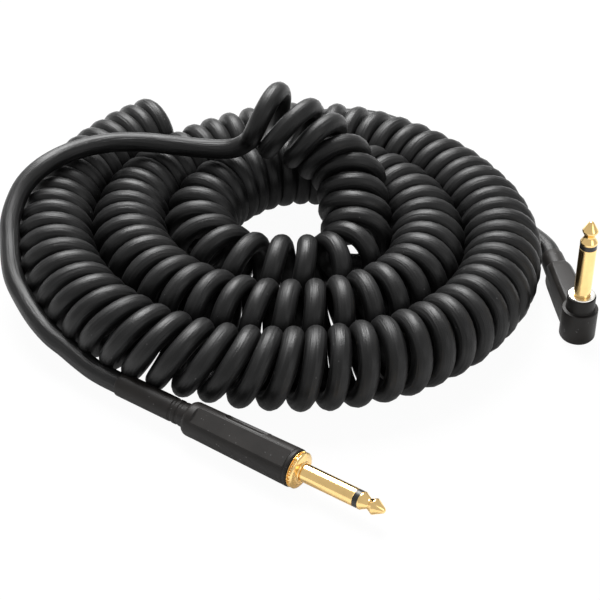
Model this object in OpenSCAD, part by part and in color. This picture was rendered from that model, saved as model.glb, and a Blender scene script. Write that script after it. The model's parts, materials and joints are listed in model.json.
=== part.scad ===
// Coiled instrument cable: a curly cord that lies as a flat spiral, with a straight quarter-inch
// plug at one end and a right-angle quarter-inch plug at the other.
// Millimetres. The floor is z = 0, and the origin is on it, under the shaft of the right-angle plug,
// which points up. The straight plug lies along X with its tip towards +X.

/* [View] */

/* [Plug contacts] */
// diameter of the plug shaft
shaft_d = 6.35; // [6.3:0.01:6.4]
// length of shaft and tip in front of the collar
shaft_reach = 32; // [31.5:0.1:32.5]
// widest diameter of the arrow tip
tip_d = 5.8; // [5.4:0.1:6.0]

/* [Straight plug] */
// diameter of the knurled gold collar
collar_d = 13; // [12.6:0.1:13.4]
// number of slanted knurl notches round the collar
knurl_count = 24; // [12:2:30]
// length of the screwed grip
grip_length = 43.5; // [43:0.5:45]
// grip diameter beside the collar
grip_front_d = 13.6; // [13.2:0.1:14]
// grip diameter at the cord end
grip_rear_d = 11.4; // [11.2:0.1:12]
// length of the sleeve that shows behind the grip
sleeve_reach = 31; // [28:0.5:32]
// diameter of that sleeve
sleeve_d = 8.8; // [8.6:0.1:9]

/* [Right-angle plug] */
// height of the moulded body under the shaft
angle_height = 19.5; // [19:0.1:20]
// diameter of the round lower body
boss_d = 13.4; // [13:0.1:14]
// height of the round lower body and of the arm
boss_height = 13.2; // [13:0.1:13.6]
// diameter of the neck that carries the shaft
neck_d = 10.6; // [10.2:0.1:11]
// length of the arm from the shaft's axis
arm_length = 33; // [32:0.5:34]
// direction of the arm on the floor, from +X
arm_turn = 132; // [128:1:134]

/* [Curly cord] */
// cord diameter
cord_d = 7.8; // [7.6:0.1:7.8]
// outside diameter of one curl
curl_d = 28.8; // [28.4:0.1:28.8]
// number of curls
curl_count = 91; // [84:1:92]

/* [Hidden] */
$fn = 64;
eps = 0.01;

gold = [0.86, 0.66, 0.28];
plated = [0.80, 0.78, 0.72];
solder_grey = [0.66, 0.66, 0.68];
copper = [0.80, 0.45, 0.25];
white_plastic = [0.92, 0.91, 0.88];
black_plastic = [0.10, 0.10, 0.10];
rubber = [0.06, 0.06, 0.065];
warm_black = [0.12, 0.11, 0.105];

// contact stack, measured along the shaft from the collar's front face towards the tip
shaft_r = shaft_d / 2;
ring_width = 1.9;
tip_length = 9.3;
ring_start = shaft_reach - tip_length - ring_width;
root_r = 2.9;           // shaft behind the face, held in the collar or the moulded body
root_relief = 0.3;      // and this far in front of it
rod_r = 1.1;
insulator_r = 2.1;
shaft_root = 13.2;      // shaft end behind the face
lug_thick = 0.7;
washer_thick = 0.8;
rivet_thick = 0.6;
ground_back = shaft_root + lug_thick;
washer_back = ground_back + washer_thick;
tip_lug_back = washer_back + lug_thick;
rivet_back = tip_lug_back + rivet_thick;
washer_r = 3.4;
tip_lug_r = 2.6;
rivet_r = 1.6;
strip_width = 3.4;
wire_r = 0.6;
core_r = 1.6;
tail_r = 0.7;
blob_r = 1.0;
solder_drop = 0.1;      // solder stops this far short of the face that it holds
cord_r = cord_d / 2;

// straight plug: places along its axis, from the collar's front face, backwards
straight_face = [-36.5, -126, 6.8];
collar_r = collar_d / 2;
collar_back = 4;
thread_r = 5.2;
fit = 0.05;             // radial running clearance
grip_gap = 0.3;         // grip's front face to the collar
grip_start = collar_back + grip_gap;
grip_end = grip_start + grip_length;
liner_start = shaft_root + 2;
grip_shoulder = grip_end - 5;
sleeve_r = sleeve_d / 2;
sleeve_start = grip_end - 6.6;
sleeve_end = grip_end + sleeve_reach;
clamp_start = sleeve_start - 4.5;
clamp_length = 4;
clamp_r = 4.3;
core_start = 26;
wire_start = rivet_back + 1;
tongue_z = wire_r;
strip_z = -4.2;

// right-angle plug
arm_end = arm_length + 8;        // end of the boot round the cord
cord_z = 6.6;                    // cord axis inside the arm
arm_half = 4.9;
arm_rear_half = 4.5;
flange_r = 4.9;
flange_thick = 0.6;
shell_wall = 0.6;
shell_half = 4.1;
shell_back = -5.6;
angle_ring_r = 4;                // ring of the ground lug round the rod
shell_front = 15.6;
shell_floor = 1.2;
angle_clamp = 16;
angle_root = 7.3;                // shaft end below the flange face

// spiral that the curly cord lies in: distance of its axis from the middle at every eighth of a turn
ring_middle = [-111, -25];
ring_start_angle = 162;
ring_reach = [97.5, 94.2, 86, 81.8, 82, 80.1, 73, 68.3];
ring_step = 30;
ring_eighths = 20;
curl_r = (curl_d - cord_d) / 2;
// the inner end climbs over the spiral's own back
climb_route = [[-88.5, -22.5, 17.5], [-92, -15.5, 22.5], [-96, -9.5, 28.5], [-98, -7, 35],
               [-105, -6, 42], [-115.5, -6, 46], [-127, -5, 48], [-137.5, -7, 50]];
climb_spacing = 15.5;   // path length of one curl on the climb
climb_inner_spacing = 9.5;  // and its least length along the inner edge
curl_rings = 8;         // rings of the tube round one curl
curl_sides = 6;
last_curl_turn = 210;
curl_exit = [[-137, -14, 40], [-144.7, -14.5, 35.2]];

// lead from the raised curl over the rings and round the left side to the straight plug
straight_route = [[-152, -17.5, 35.2], [-160, -21, 35.2], [-170, -25.5, 35.2], [-180, -30, 35.2],
                  [-190, -37, 35.2], [-197, -46, 35.2], [-201, -56, 35], [-203, -66.5, 34],
                  [-204, -75, 31], [-202.5, -82.5, 27.5], [-198.4, -90.9, 24], [-192.4, -97.9, 21],
                  [-185.2, -105.4, 18.5], [-178.4, -111, 16.5], [-171, -115, 14.5],
                  [-160.6, -119.8, 12.5], [-150.5, -122.8, 10.5], [-142.5, -123.6, 9], [-134.5, -125, 8],
                  [-126, -125.9, 7]];
// lead from the right-angle plug round the back, on the floor, to the outer curl
angle_route = [[-36.6, 38.4, 5.8], [-43.2, 42.4, 4.6], [-51, 47, 4], [-60, 53, 4], [-72, 60.5, 4],
               [-86, 68, 4], [-100, 74, 4], [-114, 79.5, 4], [-128, 82.5, 4], [-142, 82, 4],
               [-154, 76.5, 4], [-164, 68, 4], [-172, 57, 4], [-177.5, 45, 4], [-180.5, 34, 4]];
lead_sides = 10;
lead_straight = 4;      // both ends of a lead run straight this far
entry_bend = 14;        // radius of the bend into the first curl

// ---------- small helpers ----------

function unit(v) = v / norm(v);

// smooth curve through points, with some steps between each two
function spline_at(p0, p1, p2, p3, f) =
    0.5 * (2 * p1 + (p2 - p0) * f + (2 * p0 - 5 * p1 + 4 * p2 - p3) * f * f
           + (3 * p1 - p0 - 3 * p2 + p3) * f * f * f);

function smooth(p, steps) = let (n = len(p)) [
    for (i = [0 : n - 2], k = [0 : steps - 1])
        spline_at(i > 0 ? p[i - 1] : 2 * p[0] - p[1], p[i], p[i + 1],
                  i < n - 2 ? p[i + 2] : 2 * p[n - 1] - p[n - 2], k / steps),
    p[n - 1]];

function sum(v, i = 0) = i < len(v) ? v[i] + sum(v, i + 1) : 0;

// sum of the steps before each point
function running(v) = [for (i = 0, s = 0; i <= len(v); s = s + (i < len(v) ? v[i] : 0), i = i + 1) s];

function steps_of(p) = [for (i = [0 : len(p) - 2]) norm(p[i + 1] - p[i])];

function length_of(p) = sum(steps_of(p));

// points at even distances along a curve
function even(p, step) = let (s = running(steps_of(p)), n = max(2, round(s[len(s) - 1] / step))) [
    for (k = [0 : n]) let (d = s[len(s) - 1] * k / n) [
        lookup(d, [for (i = [0 : len(p) - 1]) [s[i], p[i][0]]]),
        lookup(d, [for (i = [0 : len(p) - 1]) [s[i], p[i][1]]]),
        lookup(d, [for (i = [0 : len(p) - 1]) [s[i], p[i][2]]])]];

// direction of travel at point i
function heading(p, i) = unit(p[min(i + 1, len(p) - 1)] - p[max(i - 1, 0)]);

// side vectors that turn with the path and never twist about it
function sides_of(p) = [for (i = 0, v = unit(cross(heading(p, 0), [0.1, 0.2, 1])); i < len(p);
    i = i + 1, v = i < len(p) ? unit(v - heading(p, i) * (v * heading(p, i))) : v) v];

// closed round tube along a path
module tube_along(p, r, n) {
    side = sides_of(p);
    points = [for (i = [0 : len(p) - 1]) let (t = heading(p, i), a = side[i], b = cross(t, a))
        for (k = [0 : n - 1]) p[i] + r * (a * cos(360 * k / n) + b * sin(360 * k / n))];
    last = (len(p) - 1) * n;
    walls = [for (i = [0 : len(p) - 2], k = [0 : n - 1]) let (j = (k + 1) % n, o = i * n)
        each [[o + k, o + n + k, o + j], [o + j, o + n + k, o + n + j]]];
    start_cap = [for (k = [1 : n - 2]) [0, k, k + 1]];
    end_cap = [for (k = [1 : n - 2]) [last, last + k + 1, last + k]];
    polyhedron(points = points, faces = concat(walls, start_cap, end_cap), convexity = 10);
}

// ---------- route of the curly cord ----------

function reach_at(i) = ring_reach[i % 8] - ring_step * floor(i / 8);
ring_reaches = [for (i = [0 : ring_eighths]) reach_at(i)];
ring_samples = 10;
smooth_reaches = smooth(ring_reaches, ring_samples);
ring_path = [for (i = [0 : len(smooth_reaches) - 1])
    let (a = ring_start_angle + 45 * i / ring_samples, r = smooth_reaches[i])
    [ring_middle[0] + r * cos(a), ring_middle[1] + r * sin(a), curl_d / 2]];
climb_path = smooth(concat([ring_path[len(ring_path) - 4], ring_path[len(ring_path) - 1]],
                           climb_route), 6);
cord_path = concat(ring_path, [for (i = [7 : len(climb_path) - 1]) climb_path[i]]);

// curls are closest on the inner side of the spiral, so they are spaced along its inner edge
path_out = [for (i = [0 : len(cord_path) - 1]) unit(cross(heading(cord_path, i), [0, 0, 1]))];
inner_edge = [for (i = [0 : len(cord_path) - 1]) cord_path[i] - curl_r * path_out[i]];
flat_last = len(smooth_reaches) - 1;
inner_steps = steps_of(inner_edge);
path_steps = steps_of(cord_path);
climb_steps = [for (i = [flat_last : len(cord_path) - 2])
    min(path_steps[i] / climb_spacing, inner_steps[i] / climb_inner_spacing)];
flat_curls = curl_count - sum(climb_steps);
flat_spacing = sum([for (i = [0 : flat_last - 1]) inner_steps[i]]) / flat_curls;
curl_at = running(concat([for (i = [0 : flat_last - 1]) inner_steps[i] / flat_spacing], climb_steps));
axis_x = [for (i = [0 : len(cord_path) - 1]) [curl_at[i], cord_path[i][0]]];
axis_y = [for (i = [0 : len(cord_path) - 1]) [curl_at[i], cord_path[i][1]]];
axis_z = [for (i = [0 : len(cord_path) - 1]) [curl_at[i], cord_path[i][2]]];
function axis_point(c) = [lookup(c, axis_x), lookup(c, axis_y), lookup(c, axis_z)];
function axis_heading(c) = unit(axis_point(min(c + 0.4, curl_count)) - axis_point(max(c - 0.4, 0)));

// left-handed helix: it starts at the bottom of the first curl
function curl_point(c) = let (t = axis_heading(c), out = unit(cross(t, [0, 0, 1])), up = cross(out, t),
                              a = 360 * c - 90)
    axis_point(c) + curl_r * (cos(a) * out + sin(a) * up);

// the cord comes in along the spiral, on the floor, and bends a quarter turn into the first curl
first_heading = axis_heading(0);
first_out = unit(cross(first_heading, [0, 0, 1]));
entry_middle = curl_point(0) - entry_bend * first_heading;
curl_entry = [entry_middle - entry_bend * first_out - lead_straight * first_heading,
              for (a = [0, 30, 60]) entry_middle + entry_bend * (sin(a) * first_heading - cos(a) * first_out)];
last_curl = curl_count - 1 + (last_curl_turn + 90) / 360;
curls = concat(curl_entry,
               [for (k = [0 : floor(last_curl * curl_rings)]) curl_point(k / curl_rings)],
               curl_exit, [straight_route[0]]);

// least gap between strands more than half a curl apart, measured on the tube's own ring centres
// and the middles between them
dense = concat([for (i = [0 : len(curls) - 2]) each [curls[i], (curls[i] + curls[i + 1]) / 2]],
               [curls[len(curls) - 1]]);
least_gap = min([for (i = [0 : len(dense) - 1]) min([
    for (j = [i + 9 : 1 : len(dense) - 1]) norm(dense[i] - dense[j]), 1000])]) - cord_d;
echo(least_gap_of_the_curly_cord = least_gap, tube_length = length_of(curls), rings = len(curls));

arm_out = [cos(arm_turn), sin(arm_turn), 0];
angle_start = arm_end * arm_out + [0, 0, cord_z];
angle_path = smooth(concat([angle_start, angle_start + 5 * arm_out], angle_route,
                           [curl_entry[0] - lead_straight * first_heading, curl_entry[0]]), 4);
straight_end = [straight_face[0] - sleeve_end, straight_face[1], straight_face[2]];
straight_path = smooth(concat(straight_route, [straight_end]), 4);
straight_start_heading = unit(straight_route[0] - curl_exit[1]);

// rings of a lead, square to its neighbours at both ends
function lead_rings(p, first, last) = let (q = even(p, 15), n = len(q)) concat(
    [q[0], q[0] + lead_straight * first], [for (i = [1 : n - 2]) q[i]],
    [q[n - 1] - lead_straight * last, q[n - 1]]);
echo(straight_lead_length = length_of(straight_path), angle_lead_length = length_of(angle_path));

// ---------- contacts shared by both plugs, along Z with the face at z = 0 ----------

module contact_tip(back) {
    rotate_extrude() polygon([
        [0, -back], [rod_r, -back], [rod_r, ring_start + ring_width], [shaft_r, ring_start + ring_width],
        [shaft_r, ring_start + ring_width + 0.9], [1.95, shaft_reach - 6.2], [1.95, shaft_reach - 5.6],
        [tip_d / 2 - 0.3, shaft_reach - 4.5], [tip_d / 2, shaft_reach - 3.9],
        [tip_d / 2 - 0.2, shaft_reach - 3.4], [0.9, shaft_reach - 0.4], [0.5, shaft_reach - 0.1],
        [0, shaft_reach]]);
}

// radius of a faceted hole that just takes a round rod
function round_hole(r) = r / cos(180 / $fn);

module tube(outer, inner, from, to) {
    translate([0, 0, from]) difference() {
        cylinder(r = outer, h = to - from);
        translate([0, 0, -1]) cylinder(r = inner, h = to - from + 2);
    }
}

module contact_ring() { tube(shaft_r, rod_r, ring_start, ring_start + ring_width); }

module contact_insulator(back) { tube(insulator_r, rod_r, -back, ring_start); }

module contact_shaft(back) {
    rotate_extrude() polygon([
        [insulator_r, -back], [root_r, -back], [root_r, root_relief], [shaft_r, root_relief],
        [shaft_r, ring_start], [insulator_r, ring_start]]);
}

// ---------- straight plug ----------

module on_straight() { translate(straight_face) rotate([0, 90, 0]) children(); }

module straight_tip() { color(gold) on_straight() contact_tip(tip_lug_back); }

module straight_tip_ring() { color(black_plastic) on_straight() contact_ring(); }

module straight_rod_insulator() { color(white_plastic) on_straight() contact_insulator(ground_back); }

module straight_shaft() { color(gold) on_straight() contact_shaft(shaft_root); }

module straight_collar() {
    color(gold) on_straight() difference() {
        rotate_extrude() polygon([
            [root_r, -shaft_root], [thread_r, -shaft_root], [thread_r, -collar_back],
            [collar_r, -collar_back], [collar_r, -1.9], [collar_r - 0.5, -1.1], [collar_r - 1.4, -0.4],
            [collar_r - 2.2, 0], [root_r, 0]]);
        for (i = [0 : knurl_count - 1])
            rotate([0, 0, 360 * i / knurl_count]) translate([collar_r, 0, -2.6]) rotate([30, 0, 0])
                cube([0.5, 0.4, 5], center = true);
    }
}

// ground lug: ring behind the shaft, strip along the wall, clamp round the cord end
module straight_ground_lug() {
    color(plated) on_straight() {
        difference() {
            translate([0, 0, -ground_back]) union() {
                cylinder(r = 4.4, h = lug_thick);
                translate([-strip_z - lug_thick, -strip_width / 2, 0])
                    cube([lug_thick, strip_width, lug_thick]);
            }
            translate([0, 0, -ground_back - 1]) cylinder(r = insulator_r, h = lug_thick + 2);
        }
        difference() {
            translate([-strip_z - lug_thick, -strip_width / 2, -clamp_start - clamp_length])
                cube([lug_thick, strip_width, clamp_start + clamp_length - ground_back]);
            translate([0, 0, -sleeve_start]) cylinder(r = cord_r, h = sleeve_start - clamp_start);
        }
        clamp_band(clamp_start);
    }
}

// open band round the cord, its gap away from the strip
module clamp_band(start) {
    difference() {
        tube(clamp_r, cord_r, -start - clamp_length, -start);
        translate([-clamp_r - 1, -1.5, -start - clamp_length - 1])
            cube([clamp_r, 3, clamp_length + 2]);
    }
}

module straight_washer() {
    color(white_plastic) on_straight() tube(washer_r, rod_r, -washer_back, -ground_back);
}

module straight_tip_lug() {
    color(plated) on_straight() {
        tube(tip_lug_r, rod_r, -tip_lug_back, -washer_back);
        translate([-tip_lug_r, -1, -rivet_back - 0.6])
            cube([0.6, 2, rivet_back + 0.6 - washer_back]);
        translate([-tip_lug_r, -1, -rivet_back - 1.1]) cube([tip_lug_r - tongue_z, 2, 0.5]);
        translate([-tongue_z - 0.5, -1, -rivet_back - 6]) cube([0.5, 2, 5.4]);
    }
}

module straight_rivet() {
    color(gold) on_straight() translate([0, 0, -rivet_back]) cylinder(r = rivet_r, h = rivet_thick);
}

module straight_core_wire() {
    color(copper) on_straight() translate([0, 0, -core_start])
        cylinder(r = wire_r, h = core_start - wire_start, $fn = 24);
}

module straight_core_insulation() {
    color(white_plastic) on_straight() translate([0, 0, -clamp_start])
        cylinder(r = core_r, h = clamp_start - core_start, $fn = 32);
}

module straight_core_solder() {
    color(solder_grey) on_straight() difference() {
        translate([0, 0, -rivet_back - 5]) cylinder(r = blob_r, h = 2.8, $fn = 24);
        translate([0, 0, -core_start]) cylinder(r = wire_r, h = core_start, $fn = 24);
        translate([-tongue_z - 2 + solder_drop, -2, -core_start]) cube([2, 4, core_start]);
    }
}

tail_z = -strip_z - lug_thick - tail_r;
module straight_shield_tail() {
    color(copper) on_straight() translate([tail_z, 0, -clamp_start])
        cylinder(r = tail_r, h = 8, $fn = 24);
}

module straight_shield_solder() {
    color(solder_grey) on_straight() difference() {
        translate([tail_z, 0, -clamp_start + 5]) cylinder(r = blob_r, h = 2.5, $fn = 24);
        translate([tail_z, 0, -clamp_start]) cylinder(r = tail_r, h = 8, $fn = 24);
        translate([tail_z + tail_r - solder_drop, -2, -clamp_start]) cube([2, 4, 12]);
    }
}

module straight_cord_end() {
    color(rubber) on_straight() translate([0, 0, -sleeve_end])
        cylinder(r = cord_r, h = sleeve_end - clamp_start);
}

module straight_sleeve() {
    color(warm_black) on_straight() rotate_extrude() polygon([
        [cord_r, -sleeve_end], [sleeve_r - 0.3, -sleeve_end], [sleeve_r, -sleeve_end + 0.8],
        [sleeve_r, -grip_end - 7], [sleeve_r - 0.3, -grip_end - 6.6], [sleeve_r - 0.3, -grip_end - 5.8],
        [sleeve_r, -grip_end - 5.4], [sleeve_r, -grip_end - 4.2], [sleeve_r - 0.3, -grip_end - 3.8],
        [sleeve_r - 0.3, -grip_end - 3], [sleeve_r, -grip_end - 2.6], [sleeve_r, -sleeve_start],
        [cord_r, -sleeve_start]]);
}

module straight_liner() {
    color(white_plastic) on_straight() tube(thread_r, thread_r - 0.45, -grip_shoulder + 0.1, -liner_start);
}

// long shallow pocket with round ends, cut into the grip
module pocket(from, to, width) {
    depth = 3;
    for (z = [-from - width / 2, -to + width / 2])
        translate([0, 0, z]) rotate([0, 90, 0]) cylinder(d = width, h = depth);
    translate([0, -width / 2, -to + width / 2]) cube([depth, width, to - from - width]);
}

module straight_grip() {
    rear_r = grip_rear_d / 2;
    front_r = grip_front_d / 2;
    color(warm_black) on_straight() difference() {
        rotate_extrude() polygon([
            [sleeve_r + 0.3, -grip_end], [rear_r - 0.8, -grip_end], [rear_r, -grip_end + 1.6],
            [front_r, -grip_start - 2], [front_r - 0.15, -grip_start - 0.4], [front_r - 0.6, -grip_start],
            [thread_r + fit, -grip_start], [thread_r + fit, -grip_shoulder],
            [sleeve_r + 0.3, -grip_shoulder]]);
        for (side = [90, 270]) rotate([0, 0, side])
            translate([rear_r - 0.25, 0, 0]) pocket(grip_start + 5, grip_end - 3.5, 6);
        for (side = [0, 180]) rotate([0, 0, side])
            translate([rear_r + 0.15, 0, 0]) pocket(grip_start + 11, grip_end - 12, 3);
    }
}

// ---------- right-angle plug ----------

module on_angle() { translate([0, 0, angle_height]) children(); }

module along_arm() { rotate([0, 0, arm_turn]) children(); }

angle_ground_back = angle_root + lug_thick;
angle_washer_back = angle_ground_back + washer_thick;
angle_tip_lug_back = angle_washer_back + lug_thick;
angle_rivet_back = angle_tip_lug_back + rivet_thick;

module angle_tip() { color(gold) on_angle() contact_tip(angle_tip_lug_back); }

module angle_tip_ring() { color(black_plastic) on_angle() contact_ring(); }

module angle_rod_insulator() { color(white_plastic) on_angle() contact_insulator(angle_ground_back); }

module angle_shaft() { color(gold) on_angle() contact_shaft(angle_root); }

module angle_flange() { color(plated) on_angle() tube(flange_r, root_r, -flange_thick, 0); }

module angle_ground_lug() {
    ring_z = angle_height - angle_ground_back;
    floor_z = cord_z - clamp_r;
    color(plated) along_arm() {
        difference() {
            union() {
                translate([0, 0, ring_z]) cylinder(r = angle_ring_r, h = lug_thick);
                translate([-4.9, -strip_width / 2, ring_z]) cube([4.9, strip_width, lug_thick]);
            }
            translate([0, 0, ring_z - 1]) cylinder(r = insulator_r, h = lug_thick + 2);
        }
        translate([-4.9, -strip_width / 2, floor_z]) cube([0.7, strip_width, ring_z - floor_z + eps]);
        translate([-4.9, -strip_width / 2, floor_z])
            cube([angle_clamp + clamp_length + 4.9, strip_width, clamp_r - cord_r]);
        translate([0, 0, cord_z]) rotate([0, -90, 0]) clamp_band(angle_clamp);
    }
}

module angle_washer() {
    color(white_plastic) on_angle() tube(washer_r, rod_r, -angle_washer_back, -angle_ground_back);
}

module angle_tip_lug() {
    tongue_top = cord_z + wire_r + 0.5;
    color(plated) {
        on_angle() tube(tip_lug_r, rod_r, -angle_tip_lug_back, -angle_washer_back);
        along_arm() {
            translate([2, -1, angle_height - angle_tip_lug_back]) cube([1.6, 2, lug_thick]);
            translate([3, -1, cord_z + wire_r])
                cube([0.6, 2, angle_height - angle_tip_lug_back + eps - cord_z - wire_r]);
            translate([3, -1, cord_z + wire_r]) cube([6, 2, tongue_top - cord_z - wire_r]);
        }
    }
}

module angle_rivet() {
    color(gold) on_angle() translate([0, 0, -angle_rivet_back]) cylinder(r = rivet_r, h = rivet_thick);
}

module arm_rod(r, z, from, to, facets) {
    along_arm() translate([from, 0, z]) rotate([0, 90, 0]) cylinder(r = r, h = to - from, $fn = facets);
}

module angle_core_wire() { color(copper) arm_rod(wire_r, cord_z, 4.4, 11, 24); }

module angle_core_insulation() { color(white_plastic) arm_rod(core_r, cord_z, 11, angle_clamp, 32); }

module angle_core_solder() {
    color(solder_grey) difference() {
        arm_rod(blob_r, cord_z, 5.4, 8.4, 24);
        arm_rod(wire_r, cord_z, 4, 12, 24);
        along_arm() translate([4, -2, cord_z + wire_r - solder_drop]) cube([6, 4, 2]);
    }
}

angle_tail_z = cord_z - cord_r + tail_r;
module angle_shield_tail() { color(copper) arm_rod(tail_r, angle_tail_z, 8.5, angle_clamp, 24); }

module angle_shield_solder() {
    color(solder_grey) difference() {
        arm_rod(blob_r, angle_tail_z, 9.5, 12, 24);
        arm_rod(tail_r, angle_tail_z, 8, 14, 24);
        along_arm() translate([8, -2, angle_tail_z - tail_r - 2 + solder_drop]) cube([6, 4, 2]);
    }
}

module angle_cord_end() { color(rubber) arm_rod(cord_r, cord_z, angle_clamp, arm_end, 64); }

shell_roof = angle_height - angle_root;
module angle_inner_shell() {
    color(white_plastic) difference() {
        along_arm() difference() {
            translate([shell_back, -shell_half, shell_floor])
                cube([shell_front - shell_back, 2 * shell_half, shell_roof - shell_floor]);
            translate([shell_back + shell_wall, -shell_half + shell_wall, cord_z - clamp_r])
                cube([shell_front - shell_back - shell_wall + 1, 2 * (shell_half - shell_wall),
                      shell_roof - lug_thick - cord_z + clamp_r]);
        }
        translate([0, 0, shell_roof - lug_thick - 1]) cylinder(r = angle_ring_r + 0.2, h = lug_thick + 2);
        along_arm() translate([-4.9, -strip_width / 2, shell_roof - lug_thick - 1])
            cube([4.9, strip_width, lug_thick + 2]);
    }
}

// one upright slice of the arm, with rounded edges
module arm_slice(at, half, top, edge) {
    for (y = [-half + edge, half - edge], z = [edge, top - edge])
        translate([at, y, z]) rotate([0, 90, 0]) cylinder(r = edge, h = 1, $fn = 32);
}

module angle_housing() {
    color(warm_black) difference() {
        union() {
            rotate_extrude() polygon([
                [0, 0], [boss_d / 2 - 1.6, 0], [boss_d / 2 - 0.8, 0.3], [boss_d / 2 - 0.2, 1],
                [boss_d / 2, 1.8], [boss_d / 2, boss_height - 0.4], [boss_d / 2 - 0.4, boss_height],
                [neck_d / 2, boss_height], [neck_d / 2, angle_height - flange_thick - 0.3],
                [neck_d / 2 - 0.3, angle_height - flange_thick], [0, angle_height - flange_thick]]);
            along_arm() {
                hull() {
                    arm_slice(0, arm_half, boss_height, 1.5);
                    arm_slice(arm_length - 5, arm_rear_half + 0.1, boss_height - 0.8, 2);
                    arm_slice(arm_length - 1, arm_rear_half, 11.4, 3);
                }
                translate([0, 0, cord_z]) rotate([0, 90, 0])
                    cylinder(r1 = 4.7, r2 = 4.5, h = arm_end);
            }
        }
        along_arm() translate([shell_back, -shell_half, shell_floor])
            cube([shell_front - shell_back, 2 * shell_half, shell_roof - shell_floor]);
        translate([0, 0, shell_roof - 1]) cylinder(r = round_hole(root_r), h = angle_height);
        arm_rod(clamp_r, cord_z, shell_front - eps, angle_clamp + clamp_length, 64);
        arm_rod(cord_r, cord_z, shell_front, arm_end + 1, 64);
        along_arm() translate([shell_front - eps, -strip_width / 2, cord_z - clamp_r])
            cube([angle_clamp + clamp_length - shell_front + eps, strip_width, 2]);
    }
}

// ---------- cord ----------

module straight_lead() {
    color(rubber) tube_along(lead_rings(straight_path, straight_start_heading, [1, 0, 0]), cord_r, lead_sides);
}

module curly_cord() { color(rubber) tube_along(curls, cord_r, curl_sides); }

module angle_lead() {
    color(rubber) tube_along(lead_rings(angle_path, arm_out, first_heading), cord_r, lead_sides);
}

straight_tip();
straight_tip_ring();
straight_rod_insulator();
straight_shaft();
straight_collar();
straight_ground_lug();
straight_washer();
straight_tip_lug();
straight_rivet();
straight_core_wire();
straight_core_insulation();
straight_core_solder();
straight_shield_tail();
straight_shield_solder();
straight_cord_end();
straight_sleeve();
straight_liner();
straight_grip();
angle_tip();
angle_tip_ring();
angle_rod_insulator();
angle_shaft();
angle_flange();
angle_ground_lug();
angle_washer();
angle_tip_lug();
angle_rivet();
angle_core_wire();
angle_core_insulation();
angle_core_solder();
angle_shield_tail();
angle_shield_solder();
angle_cord_end();
angle_inner_shell();
angle_housing();
straight_lead();
curly_cord();
angle_lead();
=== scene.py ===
import json
import math

import bmesh
import bpy
import numpy as np
from bpy.props import FloatProperty, FloatVectorProperty, IntProperty, PointerProperty
from mathutils import Matrix


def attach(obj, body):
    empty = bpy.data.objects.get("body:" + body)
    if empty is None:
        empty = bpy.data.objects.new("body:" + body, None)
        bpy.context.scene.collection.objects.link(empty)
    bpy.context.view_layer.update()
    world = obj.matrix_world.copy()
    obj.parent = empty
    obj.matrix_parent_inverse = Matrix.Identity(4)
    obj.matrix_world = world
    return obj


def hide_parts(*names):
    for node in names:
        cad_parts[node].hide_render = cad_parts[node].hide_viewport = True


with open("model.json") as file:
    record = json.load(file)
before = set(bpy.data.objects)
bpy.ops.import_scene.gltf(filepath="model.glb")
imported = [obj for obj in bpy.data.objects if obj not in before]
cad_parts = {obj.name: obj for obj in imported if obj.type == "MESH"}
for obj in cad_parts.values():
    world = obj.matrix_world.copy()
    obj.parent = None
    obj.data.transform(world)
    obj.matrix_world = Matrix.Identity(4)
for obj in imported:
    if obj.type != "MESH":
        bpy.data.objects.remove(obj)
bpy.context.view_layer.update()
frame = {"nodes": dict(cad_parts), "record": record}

bl_info = {
    "name": "Coiled instrument cable",
    "version": (1, 0, 0),
    "blender": (4, 5, 0),
    "location": "3D View > Sidebar > Cable",
    "description": "Dresses the packed cable: curly cord, straight plug, right-angle plug, floor and light",
    "category": "Object",
}

MM = 0.001

# ---------- places, in millimetres, as in the part's source ----------

CORD_R = 3.9
STRAIGHT_FACE = (-36.5, -126.0, 6.8)    # front of the straight plug's collar; its axis runs along X
ANGLE_FACE = (0.0, 0.0, 19.5)           # top of the right-angle plug's body; its shaft points up
ARM_TURN = math.radians(132)            # from +X to the arm of the right-angle plug
ARM_END = 41.0                          # end of its boot, from the shaft's axis
ARM_Z = 6.6                             # height of the middle of boot and cord
SLEEVE_END = 78.8                       # back end of the sleeve, behind the straight plug's face

# at every eighth of a turn, from the outer end inwards: the distance of the curls' axis from the middle of
# the spiral, its lift off the floor, the size of the curls, and the number of curls up to the next eighth
RING_MIDDLE = (-111.0, -25.0)
RING_START = 162
RING_REACH = (96, 94.2, 87.9, 82.3, 82.6, 80.3, 74, 72.5, 67, 65.4, 58.6, 53.6, 53.6, 51.8, 48.6, 45, 41, 37.6,
              30.6, 24.4, 25.6)
RING_LIFT = (0, 0, 0, 0, 0, 0, 0, 0, 0, 0, 0, 0, 0, 0, 1, 2.5, 1.5, 0, 0, 0, 0)
RING_SIZE = (1, 0.996, 0.992, 0.989, 0.985, 0.981, 0.977, 0.974, 0.97, 0.966, 0.962, 0.959, 0.955, 0.951, 0.947,
             0.944, 0.94, 0.937, 0.935, 0.935, 0.915)
RING_CURLS = (10.32, 8.33, 6.9, 7.1, 8.0, 7.9, 6.6, 6.5, 6.8, 6, 4.6, 4.2, 4.9, 4.8, 4.4, 4.25, 3.75, 2.6,
              1.85, 1.75)
# degrees by which the curls' tops lean inwards along the cord, at some eighths of a turn
RING_LEAN = ((0, 0), (1, 6), (2, 15), (2.5, 24), (2.9, 22), (3.15, 8), (3.4, 3), (4, 3), (5, 0))
RING_SAMPLES = 10
CENTRE_LIFT = 0.12                      # keeps the leaning curls off the floor
UNEVEN_SPREAD, UNEVEN_LEAN, UNEVEN_SWELL = 1.6, 0.03, 0.008
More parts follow.
